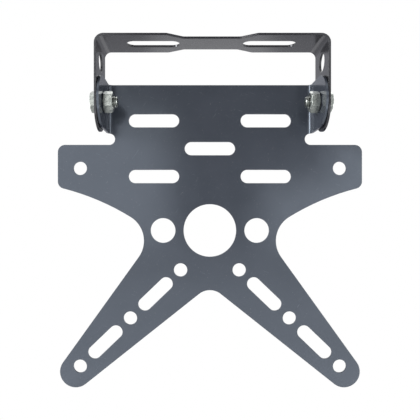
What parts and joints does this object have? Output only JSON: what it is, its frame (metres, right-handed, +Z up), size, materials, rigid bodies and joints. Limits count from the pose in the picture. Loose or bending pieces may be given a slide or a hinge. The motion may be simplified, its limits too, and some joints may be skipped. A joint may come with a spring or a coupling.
{
  "type": "license plate frame",
  "caption": "Folding license plate bracket for a motorcycle: a slotted sheet carrier with wings and legs, hung on clamp bolts between the ears of a U-shaped tail strap.",
  "frame": {"origin": "top face of the crossbar, midway between its two slots", "axes": "+X along the crossbar to the right as seen from the lug side, +Z up out of the crossbar, -Y the way the lugs point"},
  "size_m": [0.1712, 0.0313, 0.1882],
  "materials": {
    "strap_paint": "satin black paint",
    "carrier_paint": "satin black paint",
    "zinc": "zinc plated"
  },
  "bodies": {
    "strap": {"tail_bracket": "strap_paint", "pivot_bolt_left": "zinc", "pivot_bolt_right": "zinc", "pivot_nut_left": "zinc", "pivot_nut_right": "zinc"},
    "carrier": {"main_plate": "carrier_paint"}
  },
  "joints": [
    {"name": "carrier_tilt", "type": "hinge", "parent": "strap", "child": "carrier", "pos_m": [0, 0, -0.0317], "axis": [1, 0, 0], "range_deg": [-90, 90]}
  ]
}
